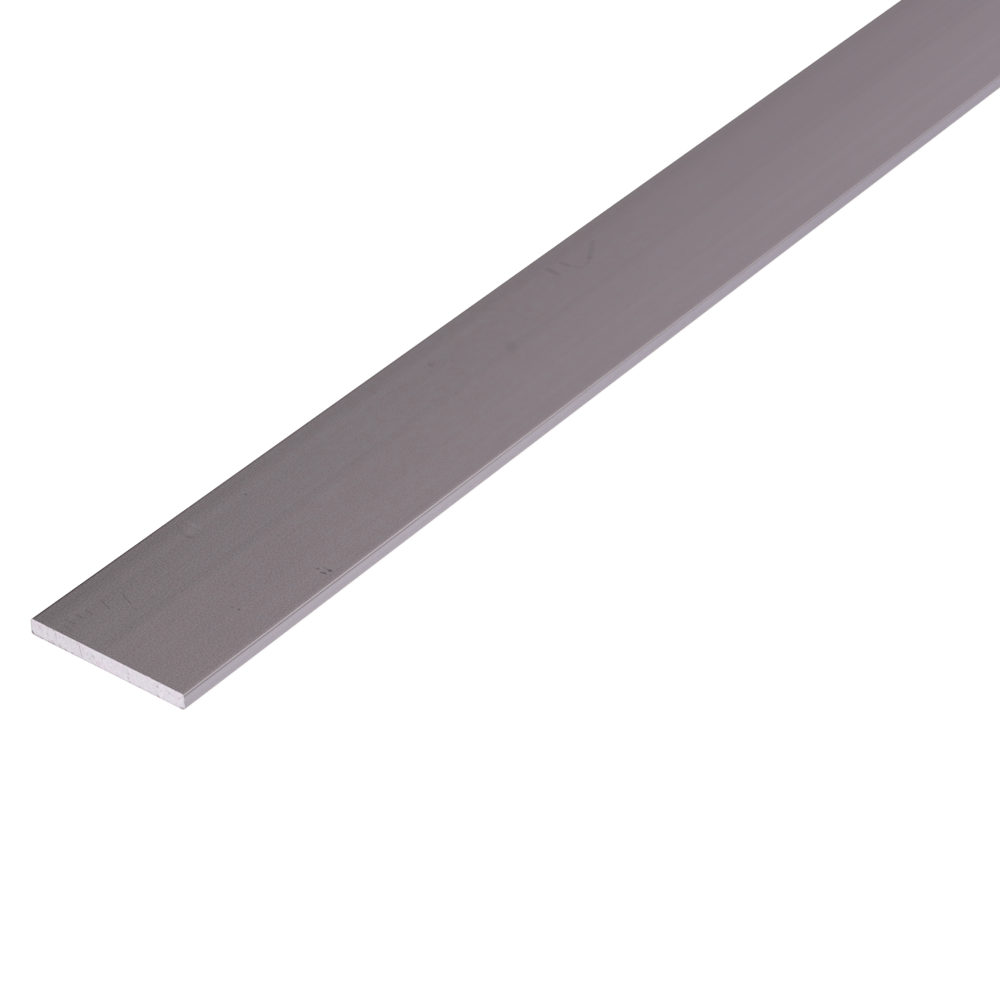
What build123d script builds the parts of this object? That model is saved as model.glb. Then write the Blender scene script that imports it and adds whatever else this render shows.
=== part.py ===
from build123d import *

import os

# Aluminium flat bar: one straight length of extruded stock, square-sawn at both ends.
#
# Frame: the bar lies flat on its wide face. +X runs along the bar, +Y across its width
# and +Z up through its thickness. The origin is under the middle of the bar, on the
# surface that it lies on. Lengths are in millimetres.

# The driving dimensions.
BAR_WIDTH = 30.0       # across the wide faces, a common metric flat
BAR_THICKNESS = 3.0    # a tenth of the width
BAR_LENGTH = 1000.0    # one metre, as small stock is sold over the counter
CORNER_RADIUS = 0.5    # the small arris that the extrusion die leaves on all four corners


def bar_section():
    """The die's opening: a rectangle, centred on the bar's width, with its four corners
    rounded to the arris radius, on the plane across the bar, standing on Z = 0."""
    middle_of_thickness = Plane.YZ.offset(-BAR_LENGTH / 2) * Pos(0, BAR_THICKNESS / 2)
    return middle_of_thickness * RectangleRounded(BAR_WIDTH, BAR_THICKNESS, CORNER_RADIUS)


def flat_bar():
    """The section drawn out along the bar and cut off square at both ends."""
    return extrude(bar_section(), amount=BAR_LENGTH, dir=(1, 0, 0))


def main():
    bar = flat_bar()
    bar.label = "flat_bar"
    os.makedirs("parts", exist_ok=True)
    export_step(bar, "parts/flat_bar.step")
    size = bar.bounding_box().size
    print(f"flat_bar {size.X:.1f} x {size.Y:.1f} x {size.Z:.1f} mm, {bar.volume / 1000:.2f} cm3")


main()
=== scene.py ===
# %% [markdown]
# # A length of aluminium flat bar
#
# Flat bar is pushed hot through a steel die, stretched straight, and sawn to length. It has
# three kinds of surface, and each has its cells below: the long faces, as the die left them;
# the four small rounded corners that run between those faces; and the two sawn ends.
#
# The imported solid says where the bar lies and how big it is. This script reads its sizes from
# there, makes one closed mesh of the same size with finer relief, and gives it its finishes.

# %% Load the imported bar
import math
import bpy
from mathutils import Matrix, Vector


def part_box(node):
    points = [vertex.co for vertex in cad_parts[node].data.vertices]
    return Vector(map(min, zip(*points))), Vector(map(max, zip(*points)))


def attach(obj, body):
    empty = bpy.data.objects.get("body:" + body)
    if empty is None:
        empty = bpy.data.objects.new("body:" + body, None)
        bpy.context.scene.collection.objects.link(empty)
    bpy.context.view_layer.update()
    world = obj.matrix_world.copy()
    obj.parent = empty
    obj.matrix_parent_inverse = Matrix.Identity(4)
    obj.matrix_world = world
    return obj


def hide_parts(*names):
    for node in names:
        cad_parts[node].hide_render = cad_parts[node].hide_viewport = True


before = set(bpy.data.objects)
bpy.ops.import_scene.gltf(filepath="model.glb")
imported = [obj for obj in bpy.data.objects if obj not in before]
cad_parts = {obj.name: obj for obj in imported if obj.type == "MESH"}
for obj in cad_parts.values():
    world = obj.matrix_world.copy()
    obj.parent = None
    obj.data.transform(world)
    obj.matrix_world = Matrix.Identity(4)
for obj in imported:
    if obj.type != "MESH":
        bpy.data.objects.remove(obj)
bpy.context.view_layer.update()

from types import SimpleNamespace

import bpy
import numpy as np
from mathutils import Vector

print("packed nodes:", sorted(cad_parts))

# %% [markdown]
# ## The sizes
#
# The bar is worked out in millimetres, because that is how bar is measured, and goes to
# metres only when its mesh is made. The width, thickness and length come from the
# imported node's box. The corner radius comes from its mesh too: the flat top stops short of
# the full width by that radius.

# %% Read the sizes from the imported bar
MM = 0.001
low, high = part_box("flat_bar")
LENGTH, WIDTH, THICK = [round(size / MM, 3) for size in high - low]
MIDDLE = THICK / 2

corners = np.array([v.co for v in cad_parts["flat_bar"].data.vertices]) / MM
flat_top = corners[corners[:, 2] > THICK - 0.001]
RADIUS = round(float(WIDTH / 2 - flat_top[:, 1].max()), 3)
print(f"bar {LENGTH} x {WIDTH} x {THICK} mm, corners of {RADIUS} mm")

# %% [markdown]
# ## The camera
#
# A long lens, a little over half a metre away, looks down on one end of the bar, so the bar
# runs off across the picture and out of it. The camera is placed by the one point that is
# easiest to see: the near corner of the end's top edge. Its place in the picture and its
# distance fix where the camera stands, once the two angles say which way it looks.

# %% Place the camera by the bar's near corner
LENS_MM, SENSOR_MM = 138.0, 36.0
PICTURE_PX = 1000
LOOK_DOWN = math.radians(35.82)      # below the horizon
LOOK_ASIDE = math.radians(37.19)     # from the bar's length, towards its left edge
CORNER_PX = (183.68, 694.75)         # the corner's place, from the picture's top left
CORNER_DEPTH = 552.0 * MM            # measured along the way that the camera looks


def picture_axes(aside, down):
    """The camera's right, down and forward directions, as unit vectors of the bar's frame:
    forward lies at the angle aside from +X and dips by the angle down."""
    level = Vector((math.cos(aside), math.sin(aside), 0))
    right = Vector((math.sin(aside), -math.cos(aside), 0))
    forward = level * math.cos(down) - Vector((0, 0, 1)) * math.sin(down)
    return right, forward.cross(right), forward


right, below, forward = picture_axes(LOOK_ASIDE, LOOK_DOWN)
px_per_depth = LENS_MM / SENSOR_MM * PICTURE_PX
across, along = [(px - PICTURE_PX / 2) / px_per_depth * CORNER_DEPTH for px in CORNER_PX]
near_corner = Vector((low.x, low.y, high.z))

camera = bpy.data.objects.new("camera", bpy.data.cameras.new("camera"))
bpy.context.scene.collection.objects.link(camera)
camera.data.lens, camera.data.sensor_width = LENS_MM, SENSOR_MM
camera.data.clip_start = 0.01
camera.location = near_corner - right * across - below * along - forward * CORNER_DEPTH
camera.rotation_euler = forward.to_track_quat("-Z", "Y").to_euler()
bpy.context.scene.camera = camera
print("camera at", [round(c, 3) for c in camera.location])

# %% [markdown]
# ## The section
#
# The die's opening is a rectangle with rounded corners. The mesh needs it twice: as the
# outline that runs along the bar, and as the face that the saw leaves at each end. So it is
# worked out as upright columns that stand side by side across the width. Every column runs
# from the bottom of the outline to the top, and inside a corner it is shorter. The outline is
# then the columns' ends, with the first and last column for the two upright sides, and
# the ends of the bar share every one of its points with the long faces.

# %% Work out the section as a grid of columns
FINE = 0.09              # the spacing of columns and rows, which has to show a saw mark
ARC_STEPS = 9


def section_columns():
    """Each column's place across the width and the height at which it starts. Round a corner
    the place goes by 1 - cos and the start by 1 - sin of an angle that turns evenly from 0 to
    a right angle, both times the radius. Over the flat the columns are evenly spaced."""
    turn = np.linspace(0, math.pi / 2, ARC_STEPS + 1)
    corner_across = RADIUS * (1 - np.cos(turn)) - WIDTH / 2
    corner_start = RADIUS * (1 - np.sin(turn))
    flat = np.linspace(-1, 1, round((WIDTH - 2 * RADIUS) / FINE) + 1) * (WIDTH / 2 - RADIUS)
    places = np.concatenate([corner_across, flat[1:-1], -corner_across[::-1]])
    starts = np.concatenate([corner_start, np.zeros(len(flat) - 2), corner_start[::-1]])
    return places, starts


def section_grid():
    """The section as a grid: y and z of every point, columns first. A point's height is its
    column's start plus an even share of what is left between that and the mirrored end."""
    places, starts = section_columns()
    share = np.linspace(0, 1, round((THICK - 2 * RADIUS) / FINE) + 1)
    heights = starts[:, None] + share[None, :] * (THICK - 2 * starts[:, None])
    return np.broadcast_to(places[:, None], heights.shape), heights


def outline_of(grid):
    """The grid's rim, as one closed run: along the bottom row, up the last column, back along
    the top row and down the first column."""
    return np.concatenate([grid[:, 0], grid[-1, 1:], grid[-2::-1, -1], grid[0, -2:0:-1]])


section_y, section_z = section_grid()
print("section grid", section_y.shape, "with", len(outline_of(section_y)), "points round it")

# %% [markdown]
# ## The sawn ends
#
# A circular saw cuts the bar off. Each tooth drags a shallow arc across the end, all about
# the blade's centre, and now and then one digs in deeper. Aluminium also sticks to the teeth
# and tears out small pits, and the blade leaves a fine burr along the rim, with small chips
# out of it. The marks are a few hundredths of a millimetre deep and the chips a tenth or so,
# yet they are what tells a sawn end from a milled one, so they are real relief in the mesh.
# Only depth below the end's plane is ever added, so the bar is never longer than its solid.

# %% Work out how deep the saw cut, over the whole end
BLADE_RADIUS = 150.0
BLADE_LEAN = math.radians(20)        # how far the arcs lean from upright
TOOTH_PITCH = 0.42                   # between the arcs of one tooth and the next
TOOTH_DEPTH = 0.004
WAVER_RATE = 0.9                     # radians to the millimetre
WAVER_DEPTH = 0.006
BURR_WIDTH, BURR_HEIGHT = 0.14, 0.022
DEEPEST = 0.045                      # the depth at which a mark is as dark as it gets


def blade_travel(y, z):
    """How far the blade had fed across the end when it passed each point: the distance from
    the blade's centre, less its radius."""
    centre_y = -BLADE_RADIUS * math.cos(BLADE_LEAN)
    centre_z = MIDDLE + BLADE_RADIUS * math.sin(BLADE_LEAN)
    return np.hypot(y - centre_y, z - centre_z) - BLADE_RADIUS


def tooth_marks(travel, draw):
    """Shallow ridges that repeat at about the tooth pitch: three sine waves of nearly that
    pitch, added, so that they come and go across the end as the blade's wobble makes them."""
    waves = 0
    for stretch in (0.83, 1.0, 1.27):
        waves = waves + np.sin(2 * math.pi * (travel / (TOOTH_PITCH * stretch) + draw.random()))
    return TOOTH_DEPTH * (waves / 3 + 1)


def torn_mark(y, z, start, end, width):
    """A smooth hump along the line from start to end: 1 on it and almost gone at twice the
    width. The nearest point of the line is its start plus a share of its run, and the share
    is the dot product with the run over its length squared, held between 0 and 1."""
    run_y, run_z = end[0] - start[0], end[1] - start[1]
    length_squared = max(run_y ** 2 + run_z ** 2, 1e-9)
    share = np.clip(((y - start[0]) * run_y + (z - start[1]) * run_z) / length_squared, 0, 1)
    gap = np.hypot(y - start[0] - share * run_y, z - start[1] - share * run_z)
    return np.exp(-(gap / width) ** 2)


def sawn_surface(y, z, marks, chips, seed):
    """Two things for every point of an end: its depth in mm below the end's plane, and how
    torn it is, from 0 to 1. The depth adds up the tooth marks, a slow waver, every mark and
    every chip out of the rim, and leaves the burr standing along the rim."""
    draw = np.random.default_rng(seed)
    travel = blade_travel(y, z)
    depth = tooth_marks(travel, draw)
    depth = depth + WAVER_DEPTH * (1 + np.sin(WAVER_RATE * travel + 5 * draw.random()))
    torn = 0
    for start, end, width, deep in marks:
        mark = deep * torn_mark(y, z, start, end, width)
        depth, torn = depth + mark, torn + mark / DEEPEST
    rim = np.minimum(THICK - z, WIDTH / 2 - np.abs(y))
    depth = depth + BURR_HEIGHT * (1 - np.exp(-(rim / BURR_WIDTH) ** 2))
    for place, size, deep in chips:
        depth = depth + deep * torn_mark(y, z, place, place, size)
    return depth, np.clip(torn, 0, 1)


# The near end's marks, as the two ends of each in mm across and up, its width and its depth:
# grooves where a tooth dug in, then tears, two of them in the top edge, then those by the
# foot, where the blade came out.
NEAR_MARKS = [
    ((10.03, 2.75), (10.0, 1.6), 0.09, 0.018), ((5.8, 2.65), (5.3, 2.1), 0.11, 0.017),
    ((5.3, 2.1), (5.0, 0.45), 0.1, 0.025), ((3.9, 1.55), (3.85, 1.2), 0.1, 0.028),
    ((13.4, 2.3), (13.1, 1.9), 0.16, 0.018), ((11.75, 1.6), (11.6, 1.3), 0.13, 0.012),
    ((2.85, 1.65), (2.6, 1.4), 0.2, 0.015), ((3.45, 0.85), (3.35, 0.8), 0.11, 0.034),
    ((1.9, 0.85), (1.4, 0.75), 0.22, 0.011), ((0.8, 2.3), (0.8, 2.05), 0.1, 0.013),
    ((-4.15, 1.8), (-4.25, 1.6), 0.11, 0.028), ((-4.15, 0.95), (-4.2, 0.75), 0.11, 0.028),
    ((-9.85, 2.0), (-9.85, 1.95), 0.16, 0.041), ((-10.4, 1.5), (-10.45, 1.45), 0.09, 0.022),
    ((-9.6, 0.8), (-9.75, 0.65), 0.12, 0.01), ((-12.1, 2.0), (-12.15, 1.75), 0.12, 0.032),
    ((-14.45, 2.1), (-13.75, 1.7), 0.1, 0.017), ((10.42, 3.05), (10.4, 2.84), 0.1, 0.1),
    ((12.1, 3.0), (11.7, 2.95), 0.09, 0.03), ((14.9, 0.58), (14.66, 0.32), 0.17, 0.054),
    ((14.3, 0.22), (12.8, 0.17), 0.1, 0.025), ((11.7, 0.22), (11.1, 0.2), 0.11, 0.025),
    ((10.8, 0.3), (10.55, 0.25), 0.13, 0.034), ((10.9, 0.7), (10.85, 0.65), 0.12, 0.027),
    ((9.6, 0.65), (9.3, 0.5), 0.12, 0.02), ((9.4, 0.35), (9.0, 0.25), 0.11, 0.018),
    ((8.4, 0.22), (8.0, 0.2), 0.12, 0.026), ((6.95, 0.25), (6.7, 0.2), 0.12, 0.028),
    ((-4.4, 0.25), (-4.6, 0.2), 0.12, 0.02), ((-6.3, 0.2), (-6.35, 0.15), 0.12, 0.027),
    ((-9.9, 0.3), (-10.0, 0.2), 0.16, 0.032), ((-14.2, 0.2), (-14.8, 0.35), 0.12, 0.032)]
# Chips out of its rim, three in the top edge and three down the right side: the place across
# and up, the size and the depth.
NEAR_CHIPS = [((9.3, 3.0), 0.12, 0.05), ((-8.2, 3.0), 0.3, 0.07), ((13.1, 3.0), 0.1, 0.05),
              ((-15.0, 1.8), 0.2, 0.17), ((-15.0, 0.9), 0.28, 0.1), ((-15.0, 0.4), 0.25, 0.08)]
# What the far end's random marks keep to, in mm: how far they stay from the sides, the top
# and the foot, how wide and deep they are, and how tall, with the odds of each. Then its chips.
SIDES_CLEAR, TOP_CLEAR, FOOT_CLEAR = 0.8, 0.3, 0.2
MARK_WIDTHS, MARK_DEPTHS = (0.09, 0.18), (0.014, DEEPEST)
MARK_HEIGHTS, HEIGHT_ODDS = [0.05, 0.2, 1.5], [0.5, 0.4, 0.1]
CHIP_SIZES, CHIP_DEPTHS, CHIPS = (0.1, 0.25), (0.03, 0.08), 8


def scattered_marks(seed, count=30):
    """Marks and chips for an end that was cut the same way, drawn at random: most are short
    and follow the blade's lean, and a few run up most of the end."""
    draw = np.random.default_rng(seed)
    half = WIDTH / 2 - SIDES_CLEAR
    marks = []
    for _ in range(count):
        across, up = draw.uniform(-half, half), draw.uniform(FOOT_CLEAR, THICK - TOP_CLEAR)
        top = min(up + draw.choice(MARK_HEIGHTS, p=HEIGHT_ODDS), THICK - TOP_CLEAR)
        lean = math.tan(BLADE_LEAN) * (top - up)
        marks.append(((across, up), (across + lean, top), draw.uniform(*MARK_WIDTHS),
                      draw.uniform(*MARK_DEPTHS)))
    chips = [((draw.uniform(-half, half), draw.choice([0.0, THICK])),
              draw.uniform(*CHIP_SIZES), draw.uniform(*CHIP_DEPTHS)) for _ in range(CHIPS)]
    return marks, chips


near_depth, near_torn = sawn_surface(section_y, section_z, NEAR_MARKS, NEAR_CHIPS, seed=3)
far_depth, far_torn = sawn_surface(section_y, section_z, *scattered_marks(seed=11), seed=5)
print(f"saw marks up to {near_depth.max():.3f} and {far_depth.max():.3f} mm deep")

# %% [markdown]
# ## The bar's mesh
#
# The long faces are the outline carried along the bar. It doesn't have to be repeated often,
# because they are straight, but it is close together by each end, where the rim's small chips
# have to run out into the true outline. The two ends are the section's grid. All three are
# laid out as arrays of point numbers first, and the faces are then cut from those arrays, so
# the mesh comes out closed with every face turned outwards.

# %% Carry the outline along the bar and close it with the ends
FIRST_STATION, NEAR_STATIONS = 0.25, 22   # mm from an end, and how many in a strip
STRIPS = 4                # the length is also divided in this many equal strips for baking


def stations():
    """Places along the bar, from one end to the other, without the ends themselves: spaced by
    a growing ratio away from each end up to a strip's length, and once at each strip's edge."""
    strip = LENGTH / STRIPS
    growing = np.geomspace(FIRST_STATION, strip, NEAR_STATIONS)
    from_ends = np.concatenate([growing, LENGTH - growing])
    edges = np.arange(1, STRIPS) * strip
    return np.unique(np.round(np.concatenate([from_ends, edges]), 4)) - LENGTH / 2


def cells_of(numbers):
    """The four-cornered faces of a grid of point numbers, as an array with four columns:
    each cell's first corner, the next along the second axis, then across and back."""
    return np.stack([numbers[:-1, :-1], numbers[:-1, 1:], numbers[1:, 1:], numbers[1:, :-1]],
                    axis=-1).reshape(-1, 4)


def bar_arrays():
    """Points, faces and each face's part: 0 for the long faces, 1 for the ends."""
    rows, columns = section_y.shape
    end_numbers = np.arange(rows * columns).reshape(rows, columns)
    near_points = np.stack([near_depth - LENGTH / 2, section_y, section_z], -1)
    far_points = np.stack([LENGTH / 2 - far_depth, section_y, section_z], -1)

    rim_y, rim_z = outline_of(section_y), outline_of(section_z)
    along = stations()
    ring = np.stack([np.zeros(len(rim_y)), rim_y, rim_z], -1)
    rings = ring[None, :, :] + along[:, None, None] * np.array([1.0, 0.0, 0.0])
    ring_numbers = np.arange(rings.shape[0] * rings.shape[1]).reshape(rings.shape[:2])

    far_numbers = end_numbers + end_numbers.size
    side = np.vstack([outline_of(end_numbers), ring_numbers + 2 * end_numbers.size,
                      outline_of(far_numbers)])
    side = np.hstack([side, side[:, :1]])

    points = np.concatenate([near_points.reshape(-1, 3), far_points.reshape(-1, 3),
                             rings.reshape(-1, 3)])
    skin, near_end, far_end = cells_of(side), cells_of(end_numbers), cells_of(far_numbers)
    faces = np.concatenate([skin, near_end, far_end[:, ::-1]])
    part = np.repeat([0, 1], [len(skin), len(near_end) + len(far_end)])
    return points * MM, faces, part, side


def mesh_from(name, points, faces):
    """A mesh of four-cornered faces, filled through foreach_set."""
    mesh = bpy.data.meshes.new(name)
    mesh.vertices.add(len(points))
    mesh.vertices.foreach_set("co", points.astype(np.float32).ravel())
    mesh.loops.add(faces.size)
    mesh.loops.foreach_set("vertex_index", faces.astype(np.int32).ravel())
    mesh.polygons.add(len(faces))
    mesh.polygons.foreach_set("loop_start", np.arange(0, faces.size, 4, dtype=np.int32))
    mesh.update(calc_edges=True)
    return mesh


points, faces, part, side_numbers = bar_arrays()
bar_mesh = mesh_from("flat_bar_stock", points, faces)
bar_mesh.polygons.foreach_set("material_index", part.astype(np.int32))
bar_mesh.polygons.foreach_set("use_smooth", np.ones(len(faces), bool))
bar = bpy.data.objects.new("flat_bar_stock", bar_mesh)
bpy.context.scene.collection.objects.link(bar)
print(f"{len(points)} points, {2 * len(faces)} triangles, valid: {not bar_mesh.validate()}")

# %% [markdown]
# The faces are shaded smoothly, so that the small corners look round. The saw's edge has to
# stay sharp, though, so the edges round both rims are marked. An edge belongs to a rim when
# both of its points do, because no other edge joins two rim points.
#
# How torn the ends are is stored on their points too, for their finish to read.

# %% Mark the sawn rims as sharp, and store how torn the ends are
torn = np.zeros(len(points), np.float32)
torn[:2 * near_torn.size] = np.concatenate([near_torn.ravel(), far_torn.ravel()])
bar_mesh.attributes.new("torn", "FLOAT", "POINT").data.foreach_set("value", torn)

rim_points = np.zeros(len(points), bool)
rim_points[side_numbers[0]] = True
rim_points[side_numbers[-1]] = True
edge_points = np.empty(2 * len(bar_mesh.edges), np.int32)
bar_mesh.edges.foreach_get("vertices", edge_points)
sharp = rim_points[edge_points.reshape(-1, 2)].all(axis=1)
bar_mesh.attributes.new("sharp_edge", "BOOLEAN", "EDGE").data.foreach_set("value", sharp)
print("sharp edges:", int(sharp.sum()))

# %% [markdown]
# ## A flat map for baking
#
# A bar is an awkward shape to draw on a square picture: unrolled, its long faces are 1000 mm
# by about 65 mm. The map cuts the length in four strips and lays them one above the other,
# which fills the square, with the two ends side by side in the gap that is left. Nothing
# below is painted through this map; it is there for whoever bakes the finishes.

# %% Lay the bar's surface out on a square
STRIP_GAP = 0.003         # as a share of the square
ENDS_APART = 2.0          # mm, at the map's scale


def bake_map():
    """Each face corner's place on the unit square. On the long faces, the way along a strip
    goes across the square, and the way round the outline goes up it, from the strip's floor.
    The ends are drawn at the same scale in the last gap."""
    rim_y, rim_z = outline_of(section_y), outline_of(section_z)
    step = np.hypot(np.diff(rim_y, append=rim_y[0]), np.diff(rim_z, append=rim_z[0]))
    round_section = np.concatenate([[0.0], np.cumsum(step)])
    strip = LENGTH / STRIPS
    scale = (1 - STRIP_GAP * (STRIPS + 2)) / (STRIPS * round_section[-1] + THICK)
    scale = min(scale, (1 - 2 * STRIP_GAP) / strip)

    along = np.concatenate([[-LENGTH / 2], stations(), [LENGTH / 2]]) + LENGTH / 2
    in_strip = np.minimum((along[:-1] / strip + 1e-6).astype(int), STRIPS - 1)
    u = STRIP_GAP + scale * (np.stack([along[:-1], along[1:]], -1) - strip * in_strip[:, None])
    v = scale * np.stack([round_section[:-1], round_section[1:]], -1)
    floor = STRIP_GAP + in_strip * (scale * round_section[-1] + STRIP_GAP)
    skin_u = u[:, [0, 0, 1, 1]][:, None, :] + np.zeros((1, len(v), 1))
    skin_v = floor[:, None, None] + v[:, [0, 1, 1, 0]][None, :, :]
    skin = np.stack([skin_u, skin_v], -1).reshape(-1, 2)

    end_v = STRIP_GAP + STRIPS * (scale * round_section[-1] + STRIP_GAP) + scale * section_z
    near_u = STRIP_GAP + scale * (section_y + WIDTH / 2)
    ends = []
    for place_u, turned in ((near_u, False), (near_u + scale * (WIDTH + ENDS_APART), True)):
        grid = cells_of(np.arange(section_y.size).reshape(section_y.shape))
        grid = grid[:, ::-1] if turned else grid
        flat = np.stack([place_u.ravel(), end_v.ravel()], -1)
        ends.append(flat[grid.ravel()])
    return np.concatenate([skin, *ends])


bake_layer = bar_mesh.uv_layers.new(name="OFBake")
bake_places = bake_map()
bake_layer.uv.foreach_set("vector", bake_places.astype(np.float32).ravel())
print("map spans", bake_places.min(0).round(3), "to", bake_places.max(0).round(3))

# %% [markdown]
# ## Shader sums as plain Python
#
# A finish is a chain of small sums on numbers that vary over the surface. Written as nodes
# and links it is hard to read, so one small class wraps a socket. Adding or multiplying two
# of them adds the Math node that does it, and every other kind of node comes from its one
# method, `node`.

# %% Wrap a shader socket so that sums add Math nodes


class Wire:
    """One output socket in a material's or the world's nodes."""

    def __init__(self, tree, socket=None):
        self.tree = tree
        self.socket = socket

    def node(self, kind, settings=None, inputs=None, output=0):
        """Adds a node of this kind. Its settings are set first, such as a Math node's
        operation, then each input, by name or number, gets a value or a wire. Returns a
        wire from the output that is asked for."""
        node = self.tree.nodes.new(kind)
        for name, value in (settings or {}).items():
            setattr(node, name, value)
        for name, value in (inputs or {}).items():
            if isinstance(value, Wire):
                self.tree.links.new(value.socket, node.inputs[name])
            else:
                node.inputs[name].default_value = value
        return Wire(self.tree, node.outputs[output] if len(node.outputs) else None)

    def sum(self, operation, *values):
        """A Math node of this operation."""
        return self.node("ShaderNodeMath", {"operation": operation}, dict(enumerate(values)))

    def vector_sum(self, operation, *values, output=0):
        """A Vector Math node of this operation."""
        return self.node("ShaderNodeVectorMath", {"operation": operation},
                         dict(enumerate(values)), output)

    def __add__(self, other):
        return self.sum("ADD", self, other)

    def __sub__(self, other):
        return self.sum("SUBTRACT", self, other)

    def __rsub__(self, other):
        return self.sum("SUBTRACT", other, self)

    def __mul__(self, other):
        return self.sum("MULTIPLY", self, other)

    def __truediv__(self, other):
        return self.sum("DIVIDE", self, other)

    def __pow__(self, other):
        return self.sum("POWER", self, other)

    def __abs__(self):
        return self.sum("ABSOLUTE", self)

    __radd__ = __add__
    __rmul__ = __mul__

    def at_least(self, floor):
        """The larger of the two."""
        return self.sum("MAXIMUM", self, floor)

    def at_most(self, ceiling):
        """The smaller of the two."""
        return self.sum("MINIMUM", self, ceiling)

    def between(self, start, end, low=0.0, high=1.0):
        """Goes smoothly from low to high as the wire's value goes from start to end. Start
        may be the larger of the two."""
        return self.node("ShaderNodeMapRange", {"interpolation_type": "SMOOTHSTEP"},
                         {"Value": self, "From Min": start, "From Max": end,
                          "To Min": low, "To Max": high})

    def blend(self, low, high):
        """Colours: low where the wire's value is 0, high where it is 1."""
        return self.node("ShaderNodeMix", {"data_type": "RGBA"}, {0: self, 6: low, 7: high}, 2)

    def times(self, amount):
        """A colour or vector, with all its parts multiplied by one amount."""
        return self.node("ShaderNodeVectorMath", {"operation": "SCALE"},
                         {0: self, "Scale": amount})


def new_nodes(owner):
    """Empties the owner's node tree and returns a wire that can add nodes to it."""
    owner.use_nodes = True
    owner.node_tree.nodes.clear()
    return Wire(owner.node_tree)


def in_mm(tree):
    """The point being shaded, in the bar's own frame, in millimetres: the whole place, and
    its three coordinates."""
    place = tree.node("ShaderNodeTexCoord", output="Object").times(1 / MM)
    parts = [tree.node("ShaderNodeSeparateXYZ", None, {0: place}, name) for name in "XYZ"]
    return place, parts


def noise(place, stretch, detail=2.0, roughness=0.5):
    """Noise from 0 to 1, with so many waves to the millimetre along X, Y and Z."""
    scaled = place.vector_sum("MULTIPLY", place, stretch)
    return place.node("ShaderNodeTexNoise", {"noise_dimensions": "3D"},
                      {"Vector": scaled, "Scale": 1.0, "Detail": detail,
                       "Roughness": roughness})


def metal(tree, colour, rough, height):
    """Ends a material: a metal of this colour and roughness, with relief of this height, in
    millimetres, from a Bump node."""
    bump = tree.node("ShaderNodeBump", None,
                     {"Strength": 1.0, "Distance": MM, "Height": height})
    shader = tree.node("ShaderNodeBsdfPrincipled", None,
                       {"Base Color": colour, "Metallic": 1.0, "Roughness": rough,
                        "Normal": bump})
    tree.node("ShaderNodeOutputMaterial", None, {"Surface": shader})


print("shader sums ready")

# %% [markdown]
# ## The mill finish
#
# "Mill finish" is bare metal as the die left it: a dull mauve-grey satin skin of oxide over
# aluminium. It is a metal, so its colour is the tint of what it mirrors. The next cells build
# it up: where on the bar a point is, the noises that break the skin up, the marks of
# handling, how dark each point is, and last its tint.
#
# Where a point is comes down to a few distances. It matters along the bar too, because the
# grain, the lines and the glint of the corners are crisp by the near end and ease off along
# the first quarter. On the rest of the bar and on its underside, which is what `elsewhere`
# stands for, they are crisp again.

# %% Find where on the bar a point is
ELSEWHERE_STARTS, ELSEWHERE_FULL = 260.0, 320.0  # mm from the near end
UNDERSIDE_STARTS, UNDERSIDE_FULL = 2.0, 1.0      # mm above the floor
CRISP_TO, SOFT_FROM = 40.0, 120.0                # mm from the near end
SOFT_GLINT = 0.15                                # what is left of the corners' glint


def spot_on_bar(tree):
    """Where the point being shaded is, as wires. Past the flat of a face, past_wide and
    past_narrow go from 0 to 1 over the corner's radius. Twice their product is 0 where a
    corner starts and ends, and 1 halfway round it."""
    place, (x, y, z) = in_mm(tree)
    at = SimpleNamespace(place=place, y=y, z=z, from_end=x + LENGTH / 2)
    at.past_wide = (abs(y) - (WIDTH / 2 - RADIUS)).at_least(0.0) / RADIUS
    at.past_narrow = (abs(z - MIDDLE) - (MIDDLE - RADIUS)).at_least(0.0) / RADIUS
    at.corner = (2.0 * at.past_wide * at.past_narrow).at_most(1.0)
    beyond = at.from_end.between(ELSEWHERE_STARTS, ELSEWHERE_FULL)
    at.elsewhere = (beyond + z.between(UNDERSIDE_STARTS, UNDERSIDE_FULL)).at_most(1.0)
    at.crisp = at.from_end.between(CRISP_TO, SOFT_FROM, 1.0, SOFT_GLINT).at_least(at.elsewhere)
    return at


print(f"crisp up to {CRISP_TO:.0f} mm from the near end, and from {ELSEWHERE_FULL:.0f} mm on")

# %% [markdown]
# ### Noises in the skin
#
# Each noise is set by how many waves it has to the millimetre along, across and up the bar.
# The die scores fine lines that run on and on, so those have hardly any waves along it and
# over two to the millimetre across. The streaks are the same but broad. The grain is the
# texture of the oxide, a quarter of a millimetre wide. The blotches and the mottle are
# stains, between one and two and about five millimetres wide.
#
# Blender's noise hangs on a lattice, and a flat cut between two layers of the lattice looks
# blotchier than a cut along a layer. With 4 waves to the millimetre the flat faces all lie on
# layers, since the sizes are whole millimetres.

# %% Make the noises
LINE_WAVES = (0.003, 2.2, 2.2)       # to the millimetre, along, across and up
STREAK_WAVES = (0.002, 0.28, 0.28)
GRAIN_WAVES = (3.5, 4.0, 4.0)
MOTTLE_WAVES = (0.16, 0.22, 0.22)
BLOTCH_WAVES = (0.55, 0.70, 0.70)
GRAIN_LEFT = 0.25, 0.16              # the share of the grain that is left 104 and 165 mm along
LINES_LEFT = 0.50                    # the share of the lines that is left 115 mm along


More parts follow.
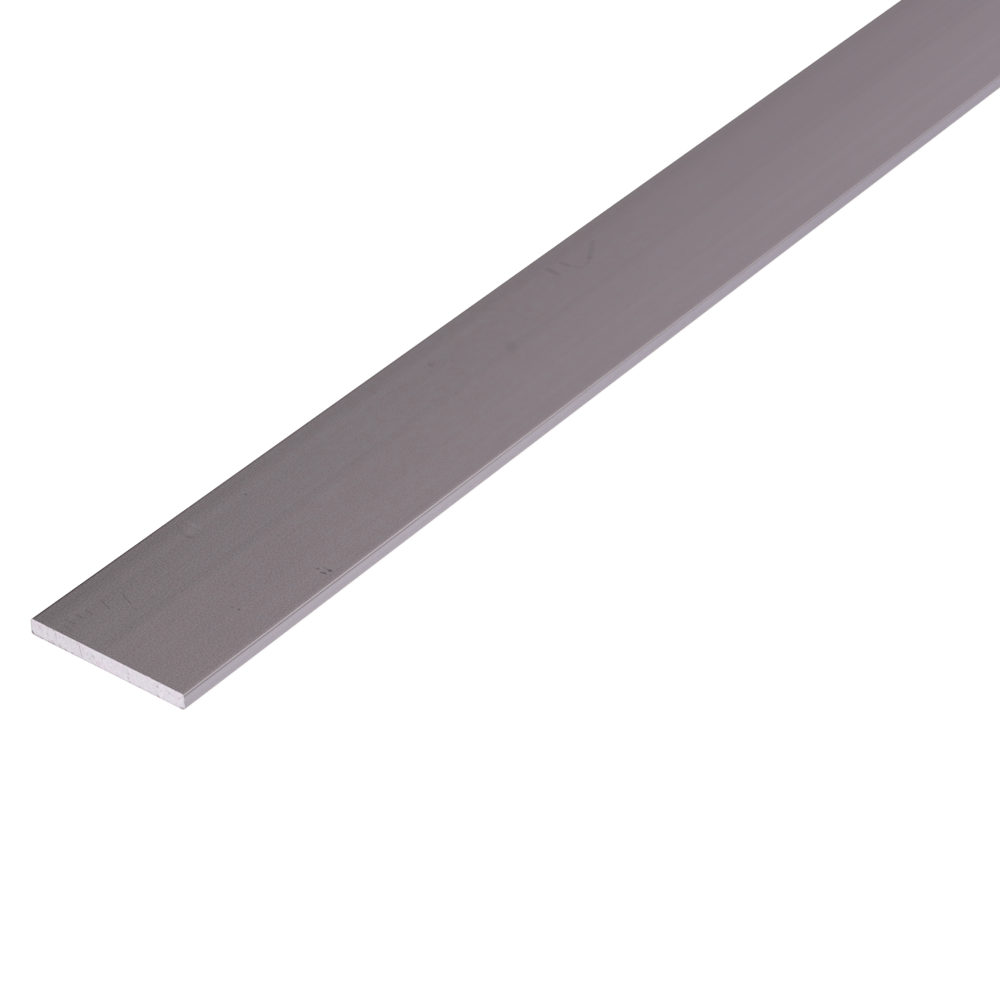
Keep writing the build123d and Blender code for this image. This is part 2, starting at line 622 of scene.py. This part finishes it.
def skin_noises(at):
    """Four noises, each from 0 to 1: streaks, grain, mottle and blotches. Then how coarse the
    grain is at this point, and the die's lines, about zero and as strong as they are here."""
    skin = SimpleNamespace()
    die_lines = noise(at.place, LINE_WAVES, detail=4.0, roughness=0.62)
    skin.streaks = noise(at.place, STREAK_WAVES, detail=2.0)
    skin.grain = noise(at.place, GRAIN_WAVES, detail=1.0, roughness=0.7)
    skin.mottle = noise(at.place, MOTTLE_WAVES, detail=3.0)
    skin.blotches = noise(at.place, BLOTCH_WAVES, detail=2.0)

    coarse = at.from_end.between(15.0, 104.0, 1.0, GRAIN_LEFT[0])
    coarse = coarse - at.from_end.between(115.0, 165.0, 0.0, GRAIN_LEFT[0] - GRAIN_LEFT[1])
    skin.coarse = coarse.at_least(at.elsewhere)
    strength = at.from_end.between(40.0, 115.0, 1.0, LINES_LEFT).at_least(at.elsewhere)
    skin.lines = strength * (die_lines - 0.5)
    return skin


print("grain waves up to the top and side faces:", GRAIN_WAVES[2] * THICK,
      GRAIN_WAVES[1] * WIDTH / 2)

# %% [markdown]
# ### Marks of handling
#
# Bar is dragged over racks and over other bars, so it picks up scratches, dents and specks of
# dirt. On the top face by the near end each one is set down by itself, and a dent there gets
# painted highlight on its ridge and painted shade on its darker arc. Elsewhere they are
# scattered at random: specks of dirt, and short scuffs that lie across the bar.

# %% Make a scratch, scattered marks, and all of them together


def scratch(place, start, end, width):
    """1 on the line from start to end and 0 a width away from it. The nearest point of the
    line is worked out as in torn_mark, here as shader sums."""
    run = Vector(end) - Vector(start)
    away = place.vector_sum("SUBTRACT", place, start)
    share = away.vector_sum("DOT_PRODUCT", away, run, output="Value")
    share = (share / run.length_squared).at_least(0.0).at_most(1.0)
    nearest = place.node("ShaderNodeVectorMath", {"operation": "SCALE"},
                         {0: run, "Scale": share})
    gap = away.vector_sum("DISTANCE", away, nearest, output="Value")
    return gap.between(width, 0.25 * width)


def stray_marks(at, apart, stretch, size, share):
    """Small marks scattered over the wide faces: 1 on a mark and 0 about a size away from it.
    A Voronoi pattern has one point to a cell, and gives the distance to the nearest. Scaling
    Y down draws a mark out across the bar. Of each cell's random colour, the red leaves out
    all but this share of the marks, and the green makes a mark larger or smaller. Height
    moves the pattern along, so that the two wide faces differ."""
    flat = at.place.vector_sum("MULTIPLY", at.place, (1 / apart, stretch / apart, 0.0))
    moved = at.z.node("ShaderNodeCombineXYZ", None, {"X": 7.3 * at.z, "Y": 2.9 * at.z})
    cells = {"Vector": flat.vector_sum("ADD", flat, moved), "Scale": 1.0}
    voronoi = flat.node("ShaderNodeTexVoronoi", {"voronoi_dimensions": "2D"}, cells, "Distance")
    colour = flat.node("ShaderNodeTexVoronoi", {"voronoi_dimensions": "2D"}, cells, "Color")
    kept, big = [flat.node("ShaderNodeSeparateXYZ", None, {0: colour}, name) for name in "XY"]
    gap = voronoi / (0.3 + big)
    return gap.between(size / apart, 0.3 * size / apart) * kept.sum("LESS_THAN", kept, share)


# Strokes on the top face: the two ends of each, as mm from the near end and mm to the left
# of the middle, the distance at which it fades out, and how much darker it is, or below 0
# paler. A bent scratch or a dent takes several. The dent about 30 mm along and 9 to 13 mm
# left is painted: highlight in its paler strokes, shade in its darker arc.
TOP_MARKS_AND_DENT_LIGHT = [
    ((9.6, 9.9), (8.75, 7.1), 0.16, 0.24), ((12.45, 7.85), (11.6, 5.5), 0.16, 0.27),
    ((11.0, 4.6), (11.2, 3.9), 0.16, 0.22), ((30.6, 12.8), (29.6, 11.1), 0.4, 0.06),
    ((29.6, 11.1), (29.4, 9.8), 0.22, 0.12), ((29.4, 9.9), (29.5, 9.3), 0.28, 0.2),
    ((29.5, 9.3), (29.9, 8.8), 0.28, 0.13), ((1.5, 9.6), (1.5, 8.8), 0.22, 0.14),
    ((1.5, 8.3), (1.5, 7.8), 0.22, 0.12), ((2.9, 10.6), (2.8, 8.8), 0.22, 0.19),
    ((2.8, 8.8), (2.5, 8.3), 0.2, 0.09), ((4.7, 10.1), (4.7, 8.8), 0.2, 0.22),
    ((6.4, 9.8), (6.3, 8.3), 0.22, 0.18), ((20.1, -6.9), (20.1, -7.0), 0.21, 0.34),
    ((20.2, -8.15), (20.2, -8.35), 0.25, 0.44), ((35.1, -11.1), (35.1, -11.3), 0.3, 0.42),
    ((34.7, -12.2), (34.8, -12.8), 0.28, 0.52), ((35.8, -12.9), (35.8, -13.0), 0.4, 0.56),
    ((35.8, -11.5), (35.8, -12.6), 0.18, 0.28), ((43.1, 10.0), (43.1, 9.8), 0.28, 0.34),
    ((38.0, -0.9), (38.0, -1.0), 0.3, 0.21), ((24.2, -3.5), (24.2, -4.1), 0.22, 0.2),
    ((23.9, 1.7), (23.9, 1.0), 0.22, 0.11), ((76.9, 11.6), (76.9, 11.4), 0.34, 0.12),
    ((88.8, 9.6), (88.6, 9.0), 0.55, 0.14), ((84.9, 1.1), (84.7, 0.9), 0.45, 0.09),
    ((101.4, 2.5), (100.4, 1.7), 1.4, 0.085), ((123.4, 11.2), (123.2, 9.4), 0.8, 0.13),
    ((126.3, 10.7), (126.4, 9.5), 0.75, 0.12), ((126.4, 9.2), (127.0, 7.3), 0.6, 0.05),
    ((32.4, 13.3), (32.2, 11.3), 0.28, -0.09), ((32.2, 11.6), (32.2, 9.9), 0.5, -0.1),
    ((31.0, 11.3), (30.4, 10.0), 0.9, -0.045), ((34.9, -12.9), (35.1, -13.7), 0.22, 0.12),
    ((34.9, -10.3), (34.9, -10.9), 0.2, 0.12), ((109.6, 8.3), (109.0, 4.7), 0.6, 0.035),
    ((97.5, -13.7), (97.5, -13.8), 0.7, 0.03), ((135.0, 10.5), (130.6, 7.9), 0.75, 0.09),
    ((130.6, 7.9), (129.0, 7.1), 0.6, 0.07), ((129.0, 7.1), (127.0, 7.3), 0.55, 0.03),
    ((4.0, 10.9), (3.8, 9.8), 0.45, -0.05), ((5.9, 10.5), (5.8, 9.5), 0.45, -0.05),
    ((59.8, 1.8), (59.8, 1.9), 0.45, 0.06), ((52.4, 2.2), (52.4, 2.3), 0.45, 0.05)]
SPECK_DARK, SCUFF_DARK = 0.34, 0.16


def all_marks(at):
    """How much darker the marks make this point, as a share of its tone."""
    marks = 0.0
    # The dent's paler strokes are painted highlight and its darker arc is painted shade.
    for start, end, width, dark in TOP_MARKS_AND_DENT_LIGHT:
        ends = [(along - LENGTH / 2, across, THICK) for along, across in (start, end)]
        marks = marks + dark * scratch(at.place, *ends, width)
    specks = stray_marks(at, apart=13.0, stretch=1.0, size=0.40, share=0.55)
    scuffs = stray_marks(at, apart=7.0, stretch=0.22, size=0.24, share=0.25)
    return marks + at.elsewhere * (SPECK_DARK * specks + SCUFF_DARK * scuffs)


print(len(TOP_MARKS_AND_DENT_LIGHT), "strokes for the marks on the top face by the near end")

# %% [markdown]
# ### How dark the skin is
#
# The tone is one number that multiplies the tint: 1 is plain skin, and less is darker. The
# wide faces get all the noises, a few faint paler and darker strips, and painted shade: they
# darken slowly from the right, where the light is, to the left, and along the right rim by the
# near end. The narrow faces were ironed smooth by the die's short side walls, so no grain shows
# in their tone. Painted shade darkens them a little along the bar, and by the near end painted
# light makes their upper half paler. The corners get painted shade, darker than the faces,
# with two fine lines besides: one at the foot of the top corners, and a painted dark reflection
# where the left corners turn away.

# %% Work out the tone
LIP_DOWN = 0.44                      # how far under the top face the lip's line lies
LIP_EDGE, LIP_FULL = 0.22, 0.06      # how far from its middle the line ends, and is full
# Where the painted dark reflection on the left corners lies:
LEFT_LINE = 14.38, 14.56             # mm left of the middle, where it starts and is full
SAWN_EDGE, SAWN_EDGE_FULL = 0.30, 0.05    # mm from the sawn edge
# How much each noise counts in the tone.
LINES_IN_TONE, STREAKS_IN_TONE, MOTTLE_IN_TONE = 0.16, 0.08, 0.05
BLOTCHES_IN_TONE, GRAIN_IN_TONE = 0.10, 1.10
# The share of the tone that each dark place takes away, or below 0 gives back.
# The corners' share is painted shade.
CORNER_SHADE, LIP_DARK, SAWN_EDGE_DARK, RIMWARD_DARK = 0.26, 0.32, 0.08, 0.035
# Painted shade along the top's right rim by the near end, and on the narrow faces along the
# bar.
RIGHT_RIM_SHADE, SIDE_SHADE_ALONG = 0.045, 0.20
# Painted light on the narrow faces' upper half by the near end, a trace of painted shade below.
SIDE_UPPER, SIDE_LOWER = -0.03, 0.005

# The slow shading across the wide faces: where each step starts and ends, in mm to the left
# of the middle, and how much darker it is at both, or below 0 paler.
SLOW_STEPS = [((-14.0, -5.0), (-0.04, 0.04)), ((0.2, 2.0), (0.0, 0.04)),
              ((4.0, 15.0), (0.0, 0.08))]
# The faint paler and darker strips along the wide faces: where across the bar each starts,
# is full, is full to, and ends; the stretch, from the near end, over which its strength
# changes; and how much darker it is before and after that.
DRAWN_STRIPS = [((9.7, 10.3, 10.4, 12.2), (40, 170), (-0.055, -0.025)),
                ((12.1, 12.6, 13.0, 14.0), (40, 170), (0.028, 0.024)),
                ((14.05, 14.25, 14.3, 14.5), (70, 120), (0.05, 0.0)),
                ((1.0, 1.5, 2.0, 2.4), (20, 60), (0.023, 0.0)),
                ((2.0, 2.5, 2.8, 4.2), (20, 45), (0.0, -0.025)),
                ((1.6, 3.2, 6.8, 8.4), (130, 220), (0.0, 0.032)),
                ((-7.8, -6.5, -5.0, -3.0), (60, 90), (0.0, -0.018)),
                ((-8.6, -7.7, -7.0, -6.3), (20, 60), (0.0, -0.034))]


def shading_across(at):
    """How much darker than plain skin the wide faces are: the painted shade in slow steps from
    the right edge to the left, a painted shade along the right rim, and the drawn strips."""
    shade = 0.0
    for places, strength in SLOW_STEPS:
        shade = shade + at.y.between(*places, *strength)
    # Painted shade along the right rim of the top face by the near end.
    shade = shade + RIGHT_RIM_SHADE * at.from_end.between(8.0, 35.0) * at.y.between(-11.0, -14.5)
    for (start, full, full_to, end), stretch, strength in DRAWN_STRIPS:
        strip = at.y.between(start, full) * at.y.between(end, full_to)
        shade = shade + at.from_end.between(*stretch, *strength) * strip
    return shade


def left_dark_reflection(at):
    """The painted dark reflection on the left corners: 1 on it, up to about 45 mm from the near
    end, and gone by 120 mm. It starts on the flat of the wide face and ends part of the way
    round."""
    line = at.y.between(*LEFT_LINE) * at.past_narrow.between(0.5, 0.65)
    return line * at.from_end.between(120.0, 45.0)


def skin_tone(at, skin, marks, line):
    """The tone: one plus every noise times how much it counts, less the shading, all of it
    times one minus the share that each line, mark, painted shade or dark band takes away."""
    on_wide = 1.0 - at.past_wide
    tone = 1.0 + LINES_IN_TONE * skin.lines + STREAKS_IN_TONE * (skin.streaks - 0.5)
    tone = tone + MOTTLE_IN_TONE * (skin.mottle - 0.5)
    uneven = at.from_end.between(8.0, 55.0) - 0.6 * at.from_end.between(140.0, 170.0)
    uneven = uneven.at_least(0.7 * at.elsewhere)
    tone = tone + BLOTCHES_IN_TONE * uneven * (skin.blotches - 0.5)
    grain = GRAIN_IN_TONE * skin.coarse * (skin.grain - 0.5)
    tone = tone + (grain - shading_across(at)) * on_wide

    # Painted shade darkens the narrow faces along the bar; by the near end painted light makes
    # their upper half paler.
    side_painted_shade = at.crisp * at.z.between(1.75, 1.25, SIDE_UPPER, SIDE_LOWER)
    side_painted_shade = side_painted_shade + SIDE_SHADE_ALONG * at.from_end.between(45.0, 190.0)
    lip = abs(at.z - (THICK - LIP_DOWN)).between(LIP_EDGE, LIP_FULL)
    lip = at.crisp * lip * at.past_wide
    # How dark the painted dark reflection on the left corners is, along the bar.
    line_depth = at.from_end.between(10.0, 40.0, 0.90, 0.55)
    tone = tone * (1.0 - side_painted_shade * at.past_wide)
    # Painted shade: every corner is darker than the faces it joins.
    tone = tone * (1.0 - CORNER_SHADE * at.corner) * (1.0 - line_depth * line)
    tone = tone * (1.0 - LIP_DARK * lip)

    # Darker towards both rims of the wide faces by the near end.
    rimward_band = at.from_end.between(45.0, 5.0) * abs(at.y).between(5.0, 11.0)
    tone = tone - RIMWARD_DARK * rimward_band * on_wide
    # Darker within 0.3 mm of the sawn edge, fully so by 0.05 mm.
    sawn_edge_band = at.from_end.between(SAWN_EDGE, SAWN_EDGE_FULL)
    return tone * (1.0 - marks) * (1.0 - SAWN_EDGE_DARK * sawn_edge_band)


print(f"{len(DRAWN_STRIPS)} drawn strips; the lip's line lies {LIP_DOWN} mm under the top face")

# %% [markdown]
# ### The tints, and the whole finish
#
# The oxide isn't one colour. On the wide faces it wanders between a pink and a green so
# slight that both read as grey, and the left half is greener by the near end. The narrow
# faces are more violet, the more so further along. The corners are barer metal, warmest
# beside the wide faces, and the foot of the narrow faces is a little rosy.
#
# The corners are smoother as well as barer, which is what draws the bright line along them.

# %% Make the mill finish
PINK_TINT = (0.410, 0.362, 0.4030, 1.0)
GREEN_TINT = (0.393, 0.366, 0.4095, 1.0)
SIDE_TINT = (0.403, 0.363, 0.415, 1.0)
SIDE_VIOLET = (0.410, 0.363, 0.433, 1.0)
SHOULDER_TINT = (0.397, 0.364, 0.374, 1.0)
BARE_TINT = (0.401, 0.364, 0.393, 1.0)
FOOT_TINT = (0.440, 0.352, 0.386, 1.0)
# LINE_TINT is the reddish tint of the painted dark reflection on the left corners.
LINE_TINT = (0.600, 0.300, 0.355, 1.0)
ROUGHNESS, CORNER_ROUGHNESS = 0.36, 0.22
GRAIN_ROUGH, MOTTLE_ROUGH, MARKS_ROUGH = 0.10, 0.08, 0.15
LEFT_GREENER = 0.35
LINE_HEIGHT, GRAIN_HEIGHT, MARK_DEPTH = 0.0022, 0.0018, 0.02  # mm


def skin_colour(at, skin, line):
    """The tint: that of the wide faces, then the side's over it, then the corner's, the foot's
    and that of the left corners' painted dark reflection, each where its own wire is 1."""
    spread = at.from_end.between(8.0, 22.0, 0.55, 1.0)
    green = 0.4 + spread * skin.blotches.between(0.30, 0.70, -0.6, 0.6)
    green = green + LEFT_GREENER * at.y.between(0.0, 2.0) * at.from_end.between(140.0, 40.0)
    colour = green.at_least(0.0).blend(PINK_TINT, GREEN_TINT)
    side = at.from_end.between(60.0, 190.0).blend(SIDE_TINT, SIDE_VIOLET)
    colour = at.past_wide.blend(colour, side)
    bare = at.past_wide.between(0.35, 0.85).blend(SHOULDER_TINT, BARE_TINT)
    foot = at.z.between(0.70, 0.15) * at.past_wide
    colour = foot.blend(at.corner.blend(colour, bare), FOOT_TINT)
    line_red = line * at.from_end.between(10.0, 40.0, 0.95, 0.4)
    return line_red.blend(colour, LINE_TINT)


def mill_finish(material):
    """The long faces and the corners between them."""
    tree = new_nodes(material)
    at = spot_on_bar(tree)
    skin, marks, line = skin_noises(at), all_marks(at), left_dark_reflection(at)
    colour = skin_colour(at, skin, line).times(skin_tone(at, skin, marks, line))
    rough = ROUGHNESS + GRAIN_ROUGH * (skin.grain - 0.5) + MOTTLE_ROUGH * (skin.mottle - 0.5)
    rough = rough + MARKS_ROUGH * marks
    rough = rough - (ROUGHNESS - CORNER_ROUGHNESS) * at.corner * at.crisp
    height = LINE_HEIGHT * skin.lines + GRAIN_HEIGHT * skin.coarse * skin.grain
    height = height - MARK_DEPTH * marks
    metal(tree, colour, rough, height)


mill = bpy.data.materials.new("mill_finish")
mill_finish(mill)
print("mill finish:", len(mill.node_tree.nodes), "nodes")

# %% [markdown]
# ## The sawn finish
#
# The saw takes the oxide off and leaves bright, torn, matt metal. It is paler than the faces
# and mirrors more broadly. The relief is in the mesh already, so the material only adds what
# is finer. Each tooth leaves a smear that leans as the blade did. Flecks of torn metal crowd
# towards both sides. The tint wanders a little, in patches. The metal is dull in each tear.
# The same dark colour is painted contact shadow along the foot, and darkens the very rim at
# the top, and a painted highlight runs just under that rim.

# %% Make the sawn finish
SAWN_PINK = (0.781, 0.716, 0.797, 1.0)
SAWN_GREEN = (0.756, 0.728, 0.787, 1.0)
# Dull torn metal, also used for the painted contact shadow along the foot.
TEAR_AND_SHADE_COLOUR = (0.42, 0.345, 0.39, 1.0)
SAWN_ROUGHNESS, SAWN_GRAIN_ROUGH, TORN_ROUGH = 0.48, 0.15, 0.15
SMEAR_HEIGHT, SAWN_GRAIN_HEIGHT = 0.006, 0.004  # mm
SMEAR_WAVES = (1.0, 2.4, 0.5)        # to the millimetre
FLECK_WAVES, SAWN_GRAIN_WAVES, PATCH_WAVES = (1.6,) * 3, (4.0,) * 3, (0.55,) * 3
SMEARS_IN_TONE, SAWN_GRAIN_IN_TONE, FLECKS_IN_TONE = 0.30, 0.35, 0.14
# A painted highlight under the top rim, and painted contact shadow at the foot on the left.
TOP_STRIP_HIGHLIGHT, LEFT_FOOT_SHADE = 0.07, 0.04
# Steps across an end: where each starts and is full, and how much paler, or below 0 darker.
SAWN_STEPS = [((2.0, 6.0), -0.03), ((-14.2, -14.9), -0.06), ((14.6, 15.0), -0.12),
              ((-9.0, -11.0), 0.02)]


def sawn_tone(y, z, smears, flecks, grain):
    """How pale each point of an end is: one, plus the noises and the painted highlight under
    the top rim, less the flecks, the painted shadow at the foot on the left, and the steps."""
    busy = abs(y + 3.0).between(3.0, 8.0, 0.6, 1.2)
    tone = 1.0 + SMEARS_IN_TONE * (smears - 0.5) + SAWN_GRAIN_IN_TONE * (grain - 0.5)
    tone = tone - busy * FLECKS_IN_TONE * flecks.between(0.53, 0.70)
    # Painted highlight just under the top rim.
    tone = tone + TOP_STRIP_HIGHLIGHT * z.between(THICK - 0.35, THICK - 0.15)
    # Painted contact shadow at the foot on the left.
    tone = tone - LEFT_FOOT_SHADE * (y.between(7.0, 9.0) * z.between(0.4, 0.1))
    for places, paler in SAWN_STEPS:
        tone = tone + paler * y.between(*places)
    return tone


def sawn_finish(material):
    """The two ends."""
    tree = new_nodes(material)
    place, (_, y, z) = in_mm(tree)
    leaning = tree.node("ShaderNodeMapping", {"vector_type": "POINT"},
                        {"Vector": place, "Rotation": (BLADE_LEAN, 0.0, 0.0)})
    smears = noise(leaning, SMEAR_WAVES, detail=4.0, roughness=0.65)
    flecks = noise(place, FLECK_WAVES, detail=4.0, roughness=0.65)
    grain = noise(place, SAWN_GRAIN_WAVES, detail=1.0)
    patches = noise(place, PATCH_WAVES, detail=1.5)
    torn = tree.node("ShaderNodeAttribute", {"attribute_name": "torn"}, None, "Fac")

    # The tears are real; the foot's darkening is painted contact shadow, and the top rim is
    # darkened too.
    torn_and_foot_shade = torn + z.between(0.42, 0.08, 0.0, 0.27)
    torn_and_foot_shade = (torn_and_foot_shade + z.between(THICK - 0.12, THICK - 0.04, 0.0, 0.75)).at_most(1.0)
    bright = patches.between(0.32, 0.68).blend(SAWN_GREEN, SAWN_PINK)
    colour = torn_and_foot_shade.blend(bright, TEAR_AND_SHADE_COLOUR).times(sawn_tone(y, z, smears, flecks, grain))
    rough = SAWN_ROUGHNESS + SAWN_GRAIN_ROUGH * (grain - 0.5) + TORN_ROUGH * torn
    metal(tree, colour, rough, SMEAR_HEIGHT * smears + SAWN_GRAIN_HEIGHT * grain)


sawn = bpy.data.materials.new("sawn_end")
sawn_finish(sawn)
for material in (mill, sawn):
    bar_mesh.materials.append(material)
print("sawn finish:", len(sawn.node_tree.nodes), "nodes")

# %% [markdown]
# ## The floor
#
# The bar lies on a plain white floor. The camera, and the metal that mirrors it, see the
# floor as white with the bar's own faint shadow: part of it is lit, which the shadow takes
# away, and the rest is given off. Everything else sees a plain matt floor.

# %% Lay the floor
FLOOR_HALF = 14.0         # m
CORNER_SIGNS = ((-1, -1), (1, -1), (1, 1), (-1, 1))
FLOOR_LIT = 0.22          # the part of the white that is lit, and can fall into shadow
FLOOR_GIVEN = 0.83        # the part that is given off
FLOOR_MATT = 0.8


def floor_finish(material):
    """White with a faint shadow to the camera and in mirrors, plain matt to all else."""
    tree = new_nodes(material)
    rays = [tree.node("ShaderNodeLightPath", None, None, name)
            for name in ("Is Camera Ray", "Is Glossy Ray", "Is Transmission Ray")]
    seen = sum(rays).at_most(1.0)
    matt = tree.node("ShaderNodeBsdfDiffuse", None, {"Color": (*[FLOOR_MATT] * 3, 1.0)})
    lit = tree.node("ShaderNodeBsdfDiffuse", None, {"Color": (*[FLOOR_LIT] * 3, 1.0)})
    given = tree.node("ShaderNodeEmission", None, {"Strength": FLOOR_GIVEN})
    white = tree.node("ShaderNodeAddShader", None, {0: lit, 1: given})
    mixed = tree.node("ShaderNodeMixShader", None, {0: seen, 1: matt, 2: white})
    tree.node("ShaderNodeOutputMaterial", None, {"Surface": mixed})
    material.cycles.emission_sampling = "NONE"


floor_mesh = bpy.data.meshes.new("floor")
floor_corners = [(FLOOR_HALF * x, FLOOR_HALF * y, 0) for x, y in CORNER_SIGNS]
floor_mesh.from_pydata(floor_corners, [], [(0, 1, 2, 3)])
floor = bpy.data.objects.new("floor", floor_mesh)
bpy.context.scene.collection.objects.link(floor)
floor_material = bpy.data.materials.new("white_floor")
floor_finish(floor_material)
floor_mesh.materials.append(floor_material)
print("floor laid,", 2 * FLOOR_HALF, "m wide")

# %% [markdown]
# ## The light
#
# The light is a pale room that is darker towards its foot, with two soft glows in it: a
# strong one low down to the right of the bar, and a weaker, wider one straight along it. A
# glow's strength falls away from its middle as a power of (1 + cosine) / 2, so it has no
# edge, and that is why the long faces shade so gently. A large soft lamp, high up behind the
# camera, gives the shadow its direction.

# %% Light the room
ROOM = (0.393, 0.388, 0.326)
SKIRTING = 0.30                       # how much of the room's light is left at its foot
SKIRTING_TOP, ROOM_FULL = 0.05, 0.40  # sines of the heights between which it brightens
# The glows: the angle from +X, the height above the floor, how narrow each is, its light.
GLOWS = [(math.radians(-48), math.radians(14), 40.0, (1.80, 1.79, 1.70)),
         (math.radians(-8), math.radians(30), 10.0, (0.615, 0.525, 0.67))]
LAMP_WATTS = 53.0
LAMP_ASIDE, LAMP_HEIGHT = math.radians(-150), math.radians(65)
LAMP_AWAY, LAMP_WIDTH = 3.0, 2.0
BLACK = (0, 0, 0, 1)


def towards(aside, height):
    """The unit vector at these angles from +X and above the floor."""
    return Vector((math.cos(aside) * math.cos(height), math.sin(aside) * math.cos(height),
                   math.sin(height)))


world = bpy.data.worlds.new("pale_room")
bpy.context.scene.world = world
tree = new_nodes(world)
way = tree.node("ShaderNodeTexCoord", output="Generated")
height = tree.node("ShaderNodeSeparateXYZ", None, {0: way}, "Z")
light = height.between(SKIRTING_TOP, ROOM_FULL, SKIRTING, 1.0).blend(BLACK, (*ROOM, 1))
for aside, up, narrow, colour in GLOWS:
    facing = way.vector_sum("DOT_PRODUCT", way, towards(aside, up), output="Value")
    glow = ((facing + 1.0) / 2.0) ** narrow
    light = light.vector_sum("ADD", light, glow.blend(BLACK, (*colour, 1)))
background = tree.node("ShaderNodeBackground", None, {"Color": light})
tree.node("ShaderNodeOutputWorld", None, {"Surface": background})

lamp_way = towards(LAMP_ASIDE, LAMP_HEIGHT)
lamp = bpy.data.objects.new("soft_lamp", bpy.data.lights.new("soft_lamp", "AREA"))
lamp.data.size, lamp.data.energy = LAMP_WIDTH, LAMP_WATTS
lamp.location = lamp_way * LAMP_AWAY
lamp.rotation_euler = (-lamp_way).to_track_quat("-Z", "Y").to_euler()
lamp.visible_camera = False
bpy.context.scene.collection.objects.link(lamp)
bpy.context.scene.view_settings.view_transform = "Standard"
print("room lit by", len(GLOWS), "glows and a lamp at", [round(c, 2) for c in lamp.location])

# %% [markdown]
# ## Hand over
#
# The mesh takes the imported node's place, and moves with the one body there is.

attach(bar, "root")
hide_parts("flat_bar")
